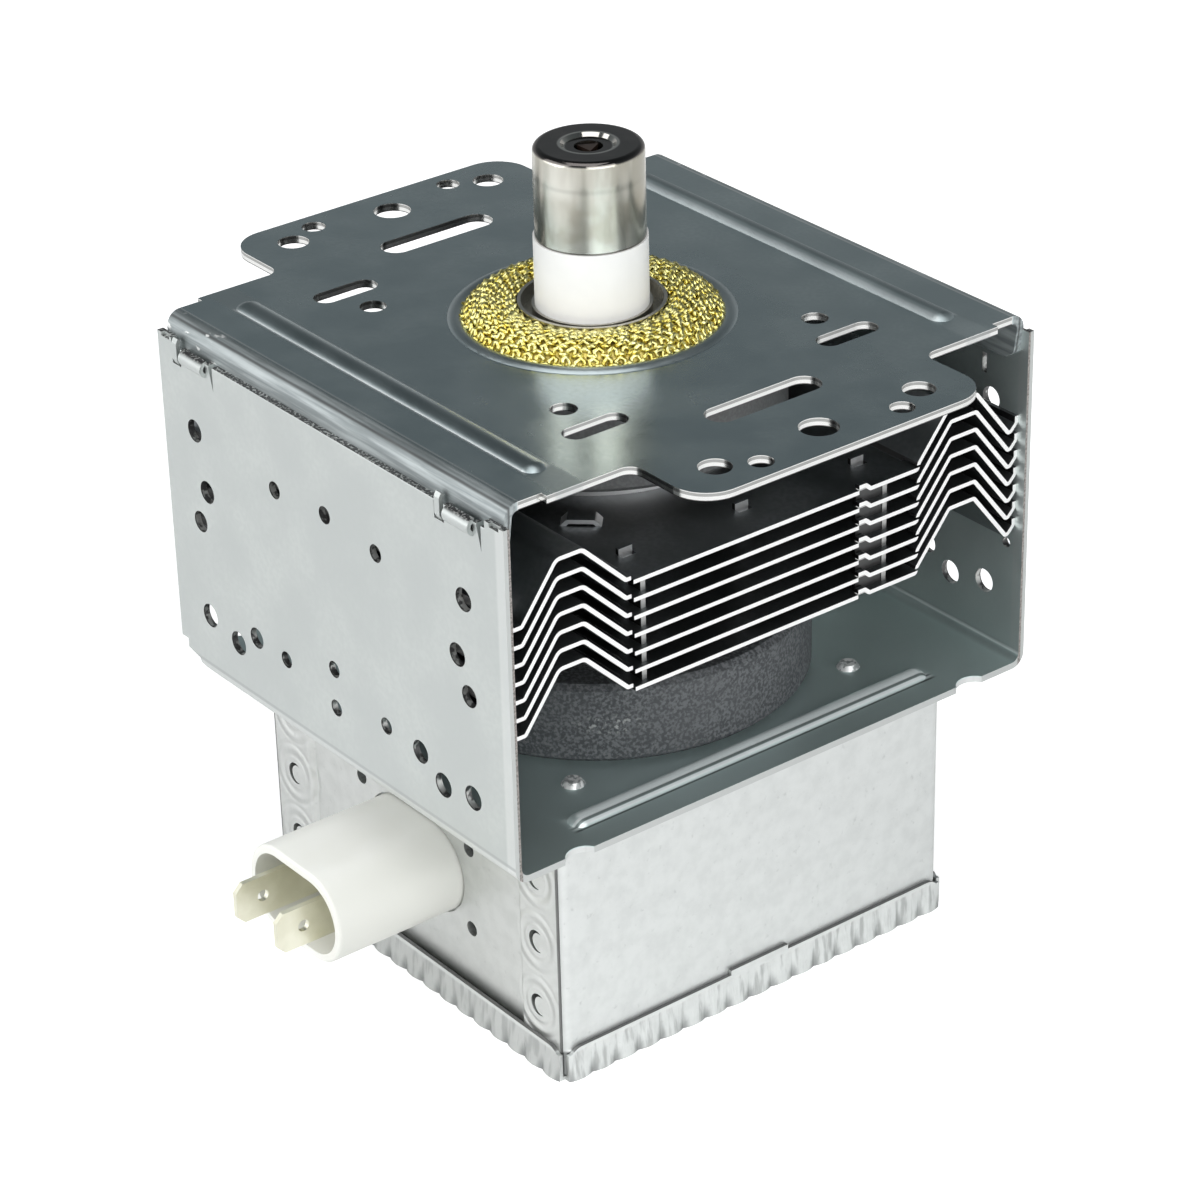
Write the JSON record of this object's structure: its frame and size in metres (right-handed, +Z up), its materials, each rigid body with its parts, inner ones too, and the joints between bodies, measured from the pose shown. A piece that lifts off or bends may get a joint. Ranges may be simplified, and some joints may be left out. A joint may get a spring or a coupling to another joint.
{
  "type": "microwave oven magnetron",
  "caption": "Air-cooled cooker magnetron: folded steel yoke round a finned anode and ring magnets, capped antenna with knitted gasket on top, filter box with plug connector below.",
  "frame": {"origin": "centre of the rectangle of mounting holes, on the antenna's axis, in the upper face of the mounting plate", "axes": "+Z up along the antenna's axis, the way the tube goes into the cooker; X through the two open sides of the yoke that the air crosses; the supply connector points to -Y"},
  "size_m": [0.1076, 0.1083, 0.1196],
  "materials": {
    "plate_zinc": "zinc-coated sheet, satin, blue-grey",
    "frame_zinc": "zinc-coated sheet, satin",
    "case_zinc": "zinc-coated sheet, satin, light",
    "fin_aluminium": "sheet with bright sheared edges",
    "ferrite_magnet": "ground ferrite, matt, speckled",
    "copper": "copper, satin",
    "enamelled_copper": "enamelled copper wire",
    "ferrite_core": "sintered ferrite, matt",
    "pole_iron": "pressed iron, satin",
    "envelope_steel": "drawn steel, nickel-plated",
    "cap_steel": "drawn steel, bright",
    "alumina": "white alumina, matt",
    "brass_knit": "knitted bright brass wire",
    "cathode_metal": "molybdenum and tungsten, grey",
    "rivet_steel": "steel, satin",
    "connector_plastic": "white moulded plastic, semi-gloss",
    "capacitor_resin": "moulded resin, matt",
    "tinned_blade": "tinned brass blade"
  },
  "bodies": {
    "root": {"anode_cylinder": "copper", "anode_vane_01": "copper", "anode_vane_02": "copper", "anode_vane_03": "copper", "anode_vane_04": "copper", "anode_vane_05": "copper", "anode_vane_06": "copper", "anode_vane_07": "copper", "anode_vane_08": "copper", "anode_vane_09": "copper", "anode_vane_10": "copper", "antenna_cap": "cap_steel", "antenna_insulator": "alumina", "antenna_lead": "copper", "antenna_seat": "envelope_steel", "capacitor_block": "capacitor_resin", "capacitor_plate": "case_zinc", "case_rivets": "rivet_steel", "cathode_filament": "cathode_metal", "cathode_lead_centre": "cathode_metal", "cathode_lead_side": "cathode_metal", "choke_coil_1": "enamelled_copper", "choke_coil_2": "enamelled_copper", "choke_core_1": "ferrite_core", "choke_core_2": "ferrite_core", "connector_shell": "connector_plastic", "cooling_fin_1": "fin_aluminium", "cooling_fin_2": "fin_aluminium", "cooling_fin_3": "fin_aluminium", "cooling_fin_4": "fin_aluminium", "cooling_fin_5": "fin_aluminium", "cooling_fin_6": "fin_aluminium", "cooling_fin_7": "fin_aluminium", "end_hat_lower": "cathode_metal", "end_hat_upper": "cathode_metal", "exhaust_tube": "copper", "filter_case": "case_zinc", "filter_lid": "case_zinc", "filter_panel": "case_zinc", "gasket_mesh": "brass_knit", "lower_magnet": "ferrite_magnet", "pole_piece_lower": "pole_iron", "pole_piece_upper": "pole_iron", "seal_flange_lower": "envelope_steel", "seal_flange_upper": "envelope_steel", "stem_insulator": "alumina", "strap_ring_lower_inner": "copper", "strap_ring_lower_outer": "copper", "strap_ring_upper_inner": "copper", "strap_ring_upper_outer": "copper", "terminal_tab_1": "tinned_blade", "terminal_tab_2": "tinned_blade", "upper_magnet": "ferrite_magnet", "yoke_frame": "frame_zinc", "yoke_top_plate": "plate_zinc"}
  },
  "joints": []
}
